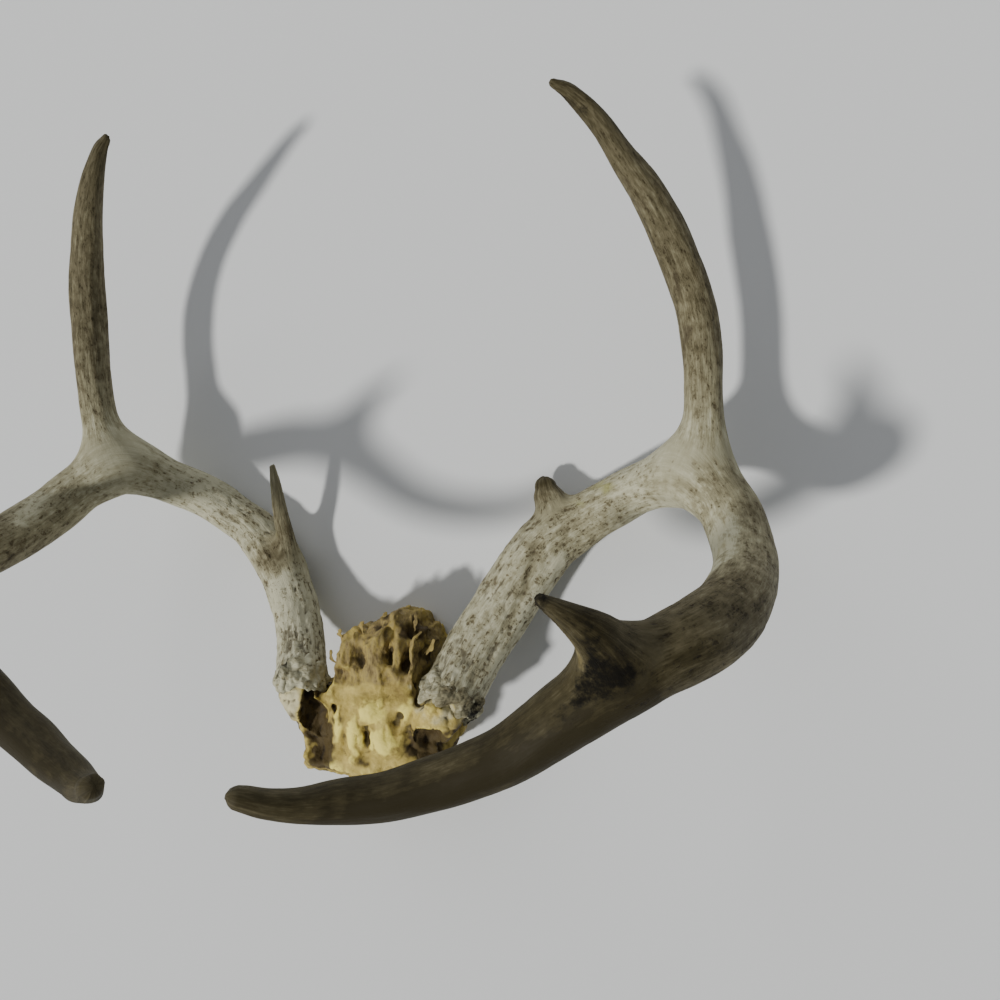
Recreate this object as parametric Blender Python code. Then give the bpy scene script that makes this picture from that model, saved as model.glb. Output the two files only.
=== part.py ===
"""A pair of white-tailed deer antlers on the sawn forehead bone that they grew from.

The rack lies on its back. +X points to the deer's left, +Y from the forehead towards the
back of the head, and +Z up. The sawn face of the bone and the backs of the two lower
beams rest on z = 0. The origin is on that plane, under the middle of the whole rack.
The lists below are measured from the point on that plane midway between the two burrs.
"""
import math

import bmesh
import bpy
from mathutils import Vector

MM = 0.001

# The middle of the whole rack on the resting plane, from the point midway between the burrs.
RACK_MIDDLE = Vector((-0.64, 122.81, 0.0))

# Clear space between pieces that meet at a fork, in millimetres.
JOINT_GAP = 0.35
TUBE_SIDES_BEAM = 16
TUBE_SIDES_TINE = 12
RINGS_PER_SPAN = 3

# The burr, the pearled collar at the foot of a beam: its reach either way along the beam,
# its chamfer, and how far it and its shoulder stand out from the beam.
BURR_HALF_THICKNESS = 5.0
BURR_CHAMFER = 2.0
BURR_RISE = 4.0
BURR_SHOULDER = 8.0
BURR_SHOULDER_RISE = 0.8

# Each station is x, y, z and radius along a beam or tine, in millimetres.
LEFT_LOWER_BEAM = [
    (45.5, 0, 45, 17.0), (54.5, 20.5, 32, 17.5), (65, 40.5, 24, 17.7), (77, 61, 19.5, 17.5),
    (92, 82, 17, 17.0), (108, 94, 16, 15.3), (128, 105, 20, 13.3), (149, 116, 32, 13.5),
    (170, 122, 50, 14.0),
]
LEFT_UPPER_BEAM = [
    (170, 122, 50, 14.0), (186, 109, 63, 14.0), (193, 93, 77, 14.0), (194, 79, 102, 13.5),
    (188, 69, 135, 14.0), (177, 62, 159, 14.5), (167, 58, 172, 14.5), (155, 53, 180, 14.0),
    (136, 39, 184, 12.5), (112, 20, 184, 10.5), (97, 12, 186, 9.7), (82, 6, 189, 9.2),
    (68, 2, 194, 8.5), (54, 1, 200, 7.5), (42, 1, 207, 6.1), (33, 3, 213.5, 5.0),
    (25, 7, 221, 3.4),
]
LEFT_LONG_TINE = [
    (173, 124, 50, 13.0), (176, 142, 54, 11.0), (176, 159, 55, 10.0), (174.5, 183, 56, 9.9),
    (170, 208, 58, 9.8), (162, 231, 65, 9.4), (151, 252, 76, 8.5), (138, 267, 87, 7.0),
    (125, 283, 96, 5.3), (114, 293, 102, 3.8), (106, 297, 105, 2.0),
]
LEFT_FRONT_TINE = [
    (152, 50, 180, 12.0), (147, 57, 191, 9.6), (142, 64.5, 202, 6.6), (134.5, 71.5, 209, 4.1),
    (126.5, 77.5, 214.5, 2.0),
]
LEFT_BROW_TINE = [
    (100, 88, 18, 9.0), (96, 103, 17, 9.0), (93, 112, 15, 8.3), (92, 117, 14, 6.0),
]

RIGHT_LOWER_BEAM = [
    (-46, 2, 45, 15.0), (-54, 20, 31, 13.7), (-65, 42, 21, 14.0), (-80, 66, 16, 14.3),
    (-95, 83, 14.4, 14.0), (-110, 92, 13.8, 13.5), (-127, 103, 17, 13.5), (-147, 113, 28, 13.7),
    (-166, 123, 49, 14.5),
]
RIGHT_UPPER_BEAM = [
    (-166, 123, 49, 14.5), (-184, 110, 62, 14.0), (-193, 94, 77, 14.0), (-196, 79, 103, 13.5),
    (-191, 68, 136, 14.0), (-181, 61, 159, 14.3), (-171, 56, 172, 14.3), (-159, 50, 180, 13.7),
    (-140, 37, 185, 12.3), (-116, 20, 186, 10.5), (-100, 11, 188, 9.5), (-85, 5, 191, 9.0),
    (-71, 1, 196, 8.3), (-57, -1, 202, 7.3), (-46, -1, 209, 6.1), (-37, 1, 215.5, 5.0),
    (-30, 5, 222, 3.3),
]
RIGHT_LONG_TINE = [
    (-170, 125, 49, 13.0), (-177, 142, 53, 11.0), (-181, 159, 55, 10.0), (-184, 183, 56, 10.0),
    (-184, 208, 59, 10.0), (-180, 231, 66, 9.5), (-171, 252, 76, 8.5), (-161, 266, 86, 7.0),
    (-150, 280, 95, 5.3), (-141, 290, 101, 3.8), (-134, 295, 104, 2.0),
]
RIGHT_FRONT_TINE = [
    (-156, 48, 180, 12.0), (-151, 55, 191, 9.6), (-146, 62.5, 202, 6.6), (-138.5, 69.5, 209, 4.1),
    (-130.5, 75.5, 214.5, 2.0),
]
RIGHT_BROW_TINE = [
    (-71, 62, 18, 9.0), (-70, 79, 23, 5.7), (-70, 92, 29, 4.9), (-70.5, 104, 33, 4.0),
    (-71, 115, 35.5, 2.9), (-72, 124, 37, 1.5),
]

# The pedicle, the bone stump under a burr, from the burr's foot into the forehead.
PEDICLE_TOP_RADIUS = 13.5
PEDICLE_ROOT = (25, -26, 37, 15.0)

# The sawn outline of the forehead bone seen from above, as x and y in millimetres.
FOREHEAD_OUTLINE = [
    (0, -53), (14, -52), (27, -48), (38, -41), (46, -30), (44, -14), (29, -4), (28, 8),
    (31, 22), (26, 36), (14, 42), (2, 39), (-11, 33), (-21, 28), (-25, 16), (-28, -2),
    (-44, -10), (-49, -20), (-46, -31), (-42, -42), (-43, -51), (-27, -53),
]
# How the outline grows and shrinks with height, as height and scale.
FOREHEAD_LEVELS = [(0, 0.90), (14, 0.97), (32, 1.0), (46, 0.98), (53, 0.87), (58, 0.62), (60, 0.3)]
FOREHEAD_CENTRE = (0.0, -8.0)

# The hollows of the eye sockets and of the brain, each a stretched ball: centre and reach.
EYE_SOCKET_CENTRE = (48, -34, 34)
EYE_SOCKET_REACH = (16, 15, 20)
BRAIN_HOLLOW_CENTRE = (0, -6, 0)
BRAIN_HOLLOW_REACH = (19, 30, 22)


def place(x, y, z):
    """A point of the lists in metres from the rack's origin."""
    return (Vector((x, y, z)) - RACK_MIDDLE) * MM


def clear_scene():
    for old in list(bpy.data.objects):
        bpy.data.objects.remove(old, do_unlink=True)


def make_material(name, colour, roughness):
    material = bpy.data.materials.new(name)
    material.use_nodes = True
    shader = material.node_tree.nodes["Principled BSDF"]
    shader.inputs["Base Color"].default_value = (*colour, 1.0)
    shader.inputs["Roughness"].default_value = roughness
    shader.inputs["Metallic"].default_value = 0.0
    material.diffuse_color = (*colour, 1.0)
    return material


def burr_stations(stations):
    """The beam's stations with the burr's collar added round its foot."""
    foot = Vector(stations[0][:3])
    along = (Vector(stations[1][:3]) - foot).normalized()
    radius = stations[0][3]
    collar = [
        (-BURR_HALF_THICKNESS, radius), (BURR_CHAMFER - BURR_HALF_THICKNESS, radius + BURR_RISE),
        (BURR_HALF_THICKNESS - BURR_CHAMFER, radius + BURR_RISE),
        (BURR_SHOULDER, radius + BURR_SHOULDER_RISE),
    ]
    rings = [(*(foot + along * reach), size) for reach, size in collar]
    return rings + list(stations[1:])


def make_pedicle(name, lower_beam):
    """A stump from just under the burr, bending down into the forehead bone."""
    foot = Vector(lower_beam[0][:3])
    along = (Vector(lower_beam[1][:3]) - foot).normalized()
    top = foot - along * (BURR_HALF_THICKNESS + JOINT_GAP)
    x, y, z, radius = PEDICLE_ROOT
    root = (math.copysign(x, foot.x), y, z, radius)
    stations = [(*top, PEDICLE_TOP_RADIUS), root]
    return make_tube(name, stations, TUBE_SIDES_BEAM, start_aim=-along)


def make_tube(name, stations, sides, swell=0.0, start_aim=None, end_aim=None):
    """A round mesh carried along a smooth curve through the stations, closed at both ends.

    swell is added to every radius, for the space that a neighbour leaves free. An aim is
    the direction in which the curve sets out or arrives.
    """
    curve = bpy.data.curves.new(name + "_path", "CURVE")
    curve.dimensions = "3D"
    curve.bevel_depth = MM
    curve.bevel_resolution = sides // 2 - 2
    curve.use_fill_caps = True
    spline = curve.splines.new("BEZIER")
    spline.bezier_points.add(len(stations) - 1)
    spline.resolution_u = RINGS_PER_SPAN
    for point, (x, y, z, radius) in zip(spline.bezier_points, stations):
        point.co = place(x, y, z)
        point.radius = radius + swell
        point.handle_left_type = "AUTO"
        point.handle_right_type = "AUTO"
    ends = spline.bezier_points
    if start_aim:
        aim_handles(ends[0], start_aim, (ends[1].co - ends[0].co).length / 3)
    if end_aim:
        aim_handles(ends[-1], end_aim, (ends[-1].co - ends[-2].co).length / 3)
    path = bpy.data.objects.new(name + "_path", curve)
    bpy.context.scene.collection.objects.link(path)
    mesh = bpy.data.meshes.new_from_object(path.evaluated_get(bpy.context.evaluated_depsgraph_get()))
    bpy.data.objects.remove(path, do_unlink=True)
    return link_mesh(name, mesh)


def aim_handles(point, aim, reach):
    """Turns both handles of an end point along the aim."""
    point.handle_left_type = "FREE"
    point.handle_right_type = "FREE"
    point.handle_left = point.co - aim * reach
    point.handle_right = point.co + aim * reach


def link_mesh(name, mesh):
    """An object for the mesh, its doubles merged, its faces outward and shaded smooth."""
    mesh.name = name
    surface = bmesh.new()
    surface.from_mesh(mesh)
    bmesh.ops.remove_doubles(surface, verts=surface.verts, dist=0.01 * MM)
    bmesh.ops.recalc_face_normals(surface, faces=surface.faces)
    surface.to_mesh(mesh)
    surface.free()
    mesh.shade_smooth()
    mesh.set_sharp_from_angle(angle=math.radians(40))
    body = bpy.data.objects.new(name, mesh)
    bpy.context.scene.collection.objects.link(body)
    return body


def make_ball(name, centre, reach):
    """A stretched ball."""
    surface = bmesh.new()
    bmesh.ops.create_icosphere(surface, subdivisions=3, radius=1.0)
    for vert in surface.verts:
        vert.co = place(*[c + r * v for c, r, v in zip(centre, reach, vert.co)])
    mesh = bpy.data.meshes.new(name)
    surface.to_mesh(mesh)
    surface.free()
    return link_mesh(name, mesh)


def make_tool(tool):
    """Keeps a body only as a guide for Booleans."""
    tool.hide_render = True
    tool.display_type = "WIRE"
    return tool


def combine(body, tool, operation):
    boolean = body.modifiers.new(tool.name, "BOOLEAN")
    boolean.operation = operation
    boolean.solver = "EXACT"
    boolean.object = make_tool(tool)


def make_antler(side, lower, upper, long_tine, front_tine, brow_tine, material):
    """One antler, split at its forks: two lengths of beam and three tines.

    Both lengths of beam arrive at the fork in one direction, and the upper one is drawn
    back by the joint's gap.
    """
    aim = (Vector(upper[1][:3]) - Vector(lower[-2][:3])).normalized()
    lower = burr_stations(lower)
    start = Vector(upper[0][:3]) + aim * JOINT_GAP
    upper = [(*start, upper[0][3])] + list(upper[1:])
    beam = TUBE_SIDES_BEAM
    tine = TUBE_SIDES_TINE
    lower_room = make_tube(side + "_lower_room", lower, beam, JOINT_GAP, end_aim=aim)
    upper_room = make_tube(side + "_upper_room", upper, beam, JOINT_GAP, start_aim=aim)
    pieces = [
        make_tube(side + "_lower_beam", lower, beam, end_aim=aim),
        make_tube(side + "_upper_beam", upper, beam, start_aim=aim),
        make_tube(side + "_long_tine", long_tine, tine),
        make_tube(side + "_front_tine", front_tine, tine),
        make_tube(side + "_brow_tine", brow_tine, tine),
    ]
    combine(pieces[2], lower_room, "DIFFERENCE")
    combine(pieces[2], upper_room, "DIFFERENCE")
    combine(pieces[3], upper_room, "DIFFERENCE")
    combine(pieces[4], lower_room, "DIFFERENCE")
    for piece in pieces:
        piece.data.materials.clear()
        piece.data.materials.append(material)
    return lower_room


def forehead_outline():
    """A smooth closed outline through the named points, as a list of x and y."""
    points = FOREHEAD_OUTLINE
    count = len(points)
    outline = []
    for index in range(count):
        before, start, end, after = (Vector(points[(index + step) % count]) for step in (-1, 0, 1, 2))
        for t in (0.0, 0.5):
            outline.append(
                0.5 * (2 * start + (end - before) * t
                       + (2 * before - 5 * start + 4 * end - after) * t * t
                       + (3 * start - before - 3 * end + after) * t ** 3)
            )
    return outline


def make_forehead(material, beam_rooms):
    """The forehead bone: stacked outlines, two pedicles, eye sockets and the brain's hollow."""
    outline = forehead_outline()
    centre = Vector(FOREHEAD_CENTRE)
    surface = bmesh.new()
    rings = []
    for height, scale in FOREHEAD_LEVELS:
        flat = [centre + (point - centre) * scale for point in outline]
        rings.append([surface.verts.new(place(p.x, p.y, height)) for p in flat])
    for lower, upper in zip(rings, rings[1:]):
        for index in range(len(outline)):
            after = (index + 1) % len(outline)
            surface.faces.new((lower[index], lower[after], upper[after], upper[index]))
    surface.faces.new(list(reversed(rings[0])))
    surface.faces.new(rings[-1])
    mesh = bpy.data.meshes.new("skull_plate")
    surface.to_mesh(mesh)
    surface.free()
    bone = link_mesh("skull_plate", mesh)
    for name, lower_beam in (("left", LEFT_LOWER_BEAM), ("right", RIGHT_LOWER_BEAM)):
        combine(bone, make_pedicle(name + "_pedicle", lower_beam), "UNION")
    for side in (1, -1):
        x, y, z = EYE_SOCKET_CENTRE
        combine(bone, make_ball(f"eye_socket_{side}", (side * x, y, z), EYE_SOCKET_REACH), "DIFFERENCE")
    combine(bone, make_ball("brain_hollow", BRAIN_HOLLOW_CENTRE, BRAIN_HOLLOW_REACH), "DIFFERENCE")
    for room in beam_rooms:
        combine(bone, room, "DIFFERENCE")
    bone.data.materials.clear()
    bone.data.materials.append(material)


def main():
    clear_scene()
    antler = make_material("antler", (0.40, 0.35, 0.26), 0.55)
    bone = make_material("forehead_bone", (0.45, 0.33, 0.16), 0.65)
    left_room = make_antler(
        "left", LEFT_LOWER_BEAM, LEFT_UPPER_BEAM, LEFT_LONG_TINE, LEFT_FRONT_TINE, LEFT_BROW_TINE, antler
    )
    right_room = make_antler(
        "right", RIGHT_LOWER_BEAM, RIGHT_UPPER_BEAM, RIGHT_LONG_TINE, RIGHT_FRONT_TINE,
        RIGHT_BROW_TINE, antler
    )
    make_forehead(bone, (left_room, right_room))


main()
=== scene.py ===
import math

import bpy
import numpy as np
from mathutils import Matrix, Vector


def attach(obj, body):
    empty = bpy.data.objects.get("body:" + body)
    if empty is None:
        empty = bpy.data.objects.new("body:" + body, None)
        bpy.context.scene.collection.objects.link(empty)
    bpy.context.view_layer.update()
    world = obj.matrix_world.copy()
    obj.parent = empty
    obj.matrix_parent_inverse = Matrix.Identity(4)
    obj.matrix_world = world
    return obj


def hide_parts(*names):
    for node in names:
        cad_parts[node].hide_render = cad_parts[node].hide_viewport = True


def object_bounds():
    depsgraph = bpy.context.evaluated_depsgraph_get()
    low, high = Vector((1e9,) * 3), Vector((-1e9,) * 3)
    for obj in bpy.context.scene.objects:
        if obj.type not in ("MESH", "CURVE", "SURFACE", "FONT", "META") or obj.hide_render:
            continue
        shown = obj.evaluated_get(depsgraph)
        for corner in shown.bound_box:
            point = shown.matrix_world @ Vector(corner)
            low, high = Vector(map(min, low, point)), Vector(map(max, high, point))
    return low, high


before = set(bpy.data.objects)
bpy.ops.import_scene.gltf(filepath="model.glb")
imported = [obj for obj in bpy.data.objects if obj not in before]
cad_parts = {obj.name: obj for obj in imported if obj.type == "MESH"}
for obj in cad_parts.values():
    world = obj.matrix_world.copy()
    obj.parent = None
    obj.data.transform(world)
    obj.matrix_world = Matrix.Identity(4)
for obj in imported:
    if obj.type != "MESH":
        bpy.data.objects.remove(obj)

MM = 0.001
cad_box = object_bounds()

# The middle of the whole rack on the resting plane, from the point midway between the
# burrs, in millimetres. Every list below is measured from that point between the burrs.
RACK_MIDDLE = np.array((-0.64, 122.81, 0.0))

# ---------------------------------------------------------------- shape of the rack
# Each station is x, y, z and radius along a beam or tine, in millimetres.
LEFT_LOWER_BEAM = [
    (45.5, 0, 45, 17.0), (54.5, 20.5, 32, 17.5), (65, 40.5, 24, 17.7), (77, 61, 19.5, 17.5),
    (92, 82, 17, 17.0), (108, 94, 16, 15.3), (128, 106.5, 21, 14.3), (149, 117, 32, 14.2),
    (170, 122, 50, 14.0),
]
LEFT_UPPER_BEAM = [
    (186, 109, 63, 14.0), (193, 93, 77, 14.0), (194, 79, 102, 13.5), (188, 69, 135, 14.0),
    (177, 62, 159, 14.3), (167, 57.5, 172, 14.0), (155, 52, 180, 13.1), (136, 39, 184, 12.5),
    (112, 20, 184, 10.5), (97, 12, 186, 9.7), (82, 6, 189, 9.2), (68, 2, 194, 8.5), (54, 1, 200, 7.5),
    (42, 1, 207, 6.1), (33, 3, 213.5, 5.1), (28, 5.4, 217.5, 4.6), (25.8, 6.4, 219.2, 4.2),
]
LEFT_LONG_TINE = [
    (173, 124, 50, 13.0), (176, 142, 54, 11.0), (176, 159, 55, 10.0), (174.5, 183, 56, 9.9),
    (170, 208, 58, 9.8), (161, 231, 65, 9.2), (149.3, 252, 76, 8.2), (136.8, 267.5, 87, 6.8),
    (125, 283, 96, 5.3), (114, 293, 102, 3.8), (106, 297, 105, 2.0),
]
LEFT_FRONT_TINE = [
    (149, 53, 186, 7.0), (146.3, 57.5, 191, 9.9), (142, 65.5, 201.5, 8.0), (134.5, 72, 209, 4.7),
    (126.5, 77.5, 214.5, 2.0),
]
LEFT_BROW_TINE = [
    (100, 88, 18, 9.0), (95.5, 103, 17, 9.0), (92, 110.5, 15.5, 8.5), (90.5, 115, 15, 6.3),
]
RIGHT_LOWER_BEAM = [
    (-46, 2, 45, 15.0), (-54, 20, 31, 13.7), (-65, 42, 21, 14.0), (-80, 66, 16, 14.3),
    (-95, 83, 14.4, 14.0), (-110, 92, 13.8, 13.5), (-127, 103, 17, 13.5), (-147, 113, 28, 13.7),
    (-166, 123, 49, 14.5),
]
RIGHT_UPPER_BEAM = [
    (-184, 110, 62, 14.0), (-193, 94, 77, 14.0), (-196, 79, 103, 13.5), (-191, 68, 136, 14.0),
    (-181, 61, 159, 14.3), (-171, 56, 172, 14.3), (-159, 50, 180, 13.7), (-140, 37, 185, 12.3),
    (-116, 20, 186, 10.5), (-100, 11, 188, 9.5), (-85, 5, 191, 9.0), (-71, 1, 196, 8.3),
    (-57, -1, 202, 7.3), (-46, -1, 209, 6.1), (-37, 1, 215.5, 5.0), (-33.5, 3.2, 218.6, 4.6),
    (-32, 4, 219.8, 4.3),
]
RIGHT_LONG_TINE = [
    (-170, 125, 49, 13.0), (-177, 142, 53, 11.0), (-181, 159, 55, 10.0), (-184, 183, 56, 10.0),
    (-184, 208, 59, 10.0), (-180, 231, 66, 9.5), (-171, 252, 76, 8.5), (-161, 266, 86, 7.0),
    (-150, 280, 95, 5.3), (-141, 290, 101, 3.8), (-134, 295, 104, 2.0),
]
RIGHT_FRONT_TINE = [
    (-153, 51, 186, 7.0), (-150.3, 55.5, 191, 9.9), (-146, 63.5, 201.5, 8.0), (-138.5, 70, 209, 4.7),
    (-130.5, 75.5, 214.5, 2.0),
]
RIGHT_BROW_TINE = [
    (-71, 62, 18, 9.0), (-70, 79, 23, 5.7), (-70, 92, 29, 4.9), (-70.5, 104, 33, 4.0),
    (-71, 115, 35.5, 2.9), (-72, 124, 37, 1.5),
]

SURFACE_CELL = 0.95          # edge of the small quads that an antler is made of
PATH_STEP = 1.5              # distance between the samples of a centre line
SPAN_SAMPLES = 24            # samples of a curve between two stations, before they are evened
MEASURED_AT_ONCE = 20000     # points whose nearest station is looked up together


# ---------------------------------------------------------------- noise
def random_of_cell(cell, seed):
    """A fixed pseudo-random number from 0 to 1 for each whole-number cell."""
    x, y, z = (cell[..., axis].astype(np.uint32) for axis in range(3))
    mixed = x * np.uint32(73856093) ^ y * np.uint32(19349663) ^ z * np.uint32(83492791)
    mixed = mixed ^ np.uint32(seed * 2654435761 % 4294967296)
    mixed = (mixed ^ (mixed >> np.uint32(13))) * np.uint32(1274126177)
    mixed = (mixed ^ (mixed >> np.uint32(16))) * np.uint32(2246822519)
    return ((mixed ^ (mixed >> np.uint32(15))) & np.uint32(0xFFFFFF)) / float(0xFFFFFF)


def noise(points, size, seed=0):
    """Smooth noise from -1 to 1: random corner values of a grid, blended by a quintic curve."""
    grid = points / np.asarray(size, float)
    low = np.floor(grid)
    part = grid - low
    part = part ** 3 * (part * (part * 6 - 15) + 10)
    low = low.astype(np.int64)
    total = np.zeros(len(points))
    for corner in np.ndindex(2, 2, 2):
        share = np.prod(np.where(corner, part, 1 - part), axis=1)
        total += share * random_of_cell(low + np.array(corner), seed)
    return total * 2 - 1


def fractal(points, size, octaves=4, seed=0):
    """Noise at a size, plus half as much at half the size, and so on."""
    size = np.asarray(size, float)
    return sum(noise(points, size / 2 ** k, seed + k) / 2 ** k for k in range(octaves))


def nearest_seed(points, size, seed=0):
    """One random seed point a cell: the distance to the nearest, in cells, and its number."""
    grid = points / np.asarray(size, float)
    low = np.floor(grid).astype(np.int64)
    best = np.full(len(points), 9.0)
    number = np.zeros(len(points))
    for step in np.ndindex(3, 3, 3):
        cell = low + np.array(step) - 1
        place = cell + np.stack([random_of_cell(cell, seed + k) for k in range(3)], axis=1)
        distance = np.linalg.norm(grid - place, axis=1)
        closer = distance < best
        best[closer] = distance[closer]
        number[closer] = random_of_cell(cell, seed + 3)[closer]
    return best, number


def smooth_step(value, low, high):
    """0 below low, 1 above high, and a smooth rise between them."""
    part = np.clip((value - low) / (high - low), 0, 1)
    return part * part * (3 - 2 * part)


def patch(points, centre, reach):
    """1 at a centre, fading as a bell with its reach along x, y and z."""
    return np.exp(-(((points - np.array(centre)) / np.array(reach)) ** 2).sum(axis=1))


def band(points, path, reach):
    """1 on a bent line through the path's points, fading as a bell with distance from it."""
    path = np.array(path, float)
    nearest = np.full(len(points), 1e9)
    for start, end in zip(path, path[1:]):
        step = end - start
        share = np.clip((points - start) @ step / (step @ step), 0, 1)
        nearest = np.minimum(nearest, np.linalg.norm(points - start - share[:, None] * step, axis=1))
    return np.exp(-(nearest / reach) ** 2)


# ---------------------------------------------------------------- paths and tubes
def unit(vectors):
    """The vectors at length 1."""
    return vectors / np.maximum(np.linalg.norm(vectors, axis=-1, keepdims=True), 1e-12)


def circle(count):
    """Angles evenly round a circle."""
    return np.linspace(0, 2 * np.pi, count, endpoint=False)


def catmull_rom(before, start, end, after, t):
    """Points of the curve from start (t is 0) to end (t is 1), with its neighbours either side."""
    return 0.5 * (2 * start + (end - before) * t + (2 * before - 5 * start + 4 * end - after) * t ** 2
                  + (3 * start - before - 3 * end + after) * t ** 3)


def smooth_path(stations, step=PATH_STEP):
    """Evenly spaced samples of the Catmull-Rom curve through the stations (x, y, z, radius)."""
    points = np.array(stations, float)
    points = np.vstack([2 * points[0] - points[1], points, 2 * points[-1] - points[-2]])
    t = np.linspace(0, 1, SPAN_SAMPLES, endpoint=False)[:, None]
    spans = [catmull_rom(*four, t) for four in zip(points, points[1:], points[2:], points[3:])]
    dense = np.vstack(spans + [points[-2:-1]])
    along = np.concatenate([[0], np.cumsum(np.linalg.norm(np.diff(dense[:, :3], axis=0), axis=1))])
    count = max(3, int(round(along[-1] / step)) + 1)
    even = np.linspace(0, along[-1], count)
    return np.stack([np.interp(even, along, dense[:, axis]) for axis in range(4)], axis=1), even


def turning_frames(centres):
    """Unit tangents, and two side directions carried along the path without twisting."""
    tangents = unit(np.gradient(centres, axis=0))
    side = unit(np.cross(tangents[0], (0.0, 0.0, 1.0)))
    sides = []
    for tangent in tangents:
        side = unit(side - tangent * side.dot(tangent))
        sides.append(side)
    sides = np.array(sides)
    return tangents, sides, np.cross(tangents, sides)


class Branch:
    """A beam or tine: a centre line with its radius, distance along it and turning frames."""

    def __init__(self, stations, blend=0.0, look=None):
        samples, self.along = smooth_path(stations)
        self.centres = samples[:, :3]
        self.radii = samples[:, 3]
        self.tangents, self.sides, self.backs = turning_frames(self.centres)
        self.blend = blend
        self.look = look or {}

    def tube(self, sides=28):
        """A circle carried along the centre line, closed by a point at each end."""
        turn = circle(sides)[:, None]
        ring = self.sides[:, None] * np.cos(turn) + self.backs[:, None] * np.sin(turn)
        rings = self.centres[:, None] + ring * self.radii[:, None, None]
        return capped(rings, self.centres, self.tangents, self.radii[[0, -1]] * 0.6)

    def measure(self, points):
        """Distance past the surface, direction outward, distance along, and angle round."""
        centres = self.centres.astype(np.float32)
        nearest = np.concatenate([
            ((centres ** 2).sum(axis=1) - 2 * some.astype(np.float32) @ centres.T).argmin(axis=1)
            for some in np.array_split(points, max(1, len(points) // MEASURED_AT_ONCE))
        ])
        tangent = self.tangents[nearest]
        slide = np.clip(((points - self.centres[nearest]) * tangent).sum(axis=1), -PATH_STEP, PATH_STEP)
        slide = np.where(nearest == 0, np.maximum(slide, 0), slide)
        slide = np.where(nearest == len(centres) - 1, np.minimum(slide, 0), slide)
        along = self.along[nearest] + slide
        radius = np.interp(along, self.along, self.radii)
        away = points - self.centres[nearest] - tangent * slide[:, None]
        back = (away * self.backs[nearest]).sum(axis=1)
        angle = np.arctan2(back, (away * self.sides[nearest]).sum(axis=1))
        return np.linalg.norm(away, axis=1) - radius, unit(away), along, angle


def ring_faces(rings, sides, poles=False, closed=False):
    """Quads between neighbouring rings of points, with fans to two end points if asked."""
    first = np.arange(rings if closed else rings - 1)[:, None] * sides
    step = np.arange(sides)[None]
    after = (step + 1) % sides
    upper = (first + sides) % (rings * sides)
    faces = np.stack([first + step, first + after, upper + after, upper + step], axis=-1)
    faces = faces.reshape(-1, 4).tolist()
    if poles:
        start, end = rings * sides, rings * sides + 1
        last = (rings - 1) * sides
        faces += [[start, (k + 1) % sides, k] for k in range(sides)]
        faces += [[end, last + k, last + (k + 1) % sides] for k in range(sides)]
    return faces


def capped(rings, centres, tangents, reach):
    """The surface through the rings, closed by a point past each end of their centre line."""
    ends = centres[[0, -1]] + tangents[[0, -1]] * np.array([[-reach[0]], [reach[1]]])
    points = np.vstack([rings.reshape(-1, 3), ends])
    return points, ring_faces(len(rings), rings.shape[1], poles=True)


# ---------------------------------------------------------------- meshes
def make_mesh(name, points, faces):
    """A mesh in metres from points in millimetres measured between the burrs."""
    mesh = bpy.data.meshes.new(name)
    mesh.from_pydata(((points - RACK_MIDDLE) * MM).tolist(), [], faces)
    mesh.validate()
    return mesh


def link(name, data):
    """A new object in the scene, for a mesh, lamp or camera."""
    piece = bpy.data.objects.new(name, data)
    bpy.context.scene.collection.objects.link(piece)
    return piece


def join_surfaces(surfaces):
    """Several surfaces, each of points and faces, as one."""
    points, faces, count = [], [], 0
    for some_points, some_faces in surfaces:
        points.append(some_points)
        faces += [[corner + count for corner in face] for face in some_faces]
        count += len(some_points)
    return np.vstack(points), faces


def add_skin(body, cell):
    """A remesh of the body to even small quads."""
    remesh = body.modifiers.new("skin", "REMESH")
    remesh.mode = "VOXEL"
    remesh.voxel_size = cell * MM


def merge(name, surfaces, cell, cutters=()):
    """Closed surfaces merged into one skin of even small quads, less the cutters."""
    body = link(name, make_mesh(name, *join_surfaces(surfaces)))
    add_skin(body, cell)
    spare = [body]
    if cutters:
        tool = link(name + "_cutter", merge(name + "_cutter", cutters, cell))
        cut = body.modifiers.new("cut", "BOOLEAN")
        cut.operation = "DIFFERENCE"
        cut.solver = "EXACT"
        cut.object = tool
        add_skin(body, cell)
        spare.append(tool)
    mesh = bpy.data.meshes.new_from_object(body.evaluated_get(bpy.context.evaluated_depsgraph_get()))
    for piece in spare:
        bpy.data.objects.remove(piece, do_unlink=True)
    mesh.name = name
    return mesh


def read_points(mesh):
    """The points of the mesh in millimetres, measured between the burrs."""
    flat = np.empty(len(mesh.vertices) * 3)
    mesh.vertices.foreach_get("co", flat)
    return flat.reshape(-1, 3) / MM + RACK_MIDDLE


def read_normals(mesh):
    """The direction outward at each point of the mesh."""
    flat = np.empty(len(mesh.vertices) * 3, np.float32)
    mesh.vertices.foreach_get("normal", flat)
    return flat.reshape(-1, 3).astype(float)


def hollowness(mesh, points, normals, rounds):
    """How far each point lies below the average of its neighbourhood, in millimetres.

    The average is taken over the edges, again and again, so it spreads with the rounds.
    """
    ends = np.empty(len(mesh.edges) * 2, np.int32)
    mesh.edges.foreach_get("vertices", ends)
    first, second = ends.reshape(-1, 2).T
    count = len(points)
    share = 0.5 / (np.bincount(first, minlength=count) + np.bincount(second, minlength=count))
    smooth = points
    for _ in range(rounds):
        around = np.stack([
            np.bincount(first, column[second], count) + np.bincount(second, column[first], count)
            for column in smooth.T
        ], axis=1)
        smooth = smooth * 0.5 + around * share[:, None]
    return ((smooth - points) * normals).sum(axis=1)


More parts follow.
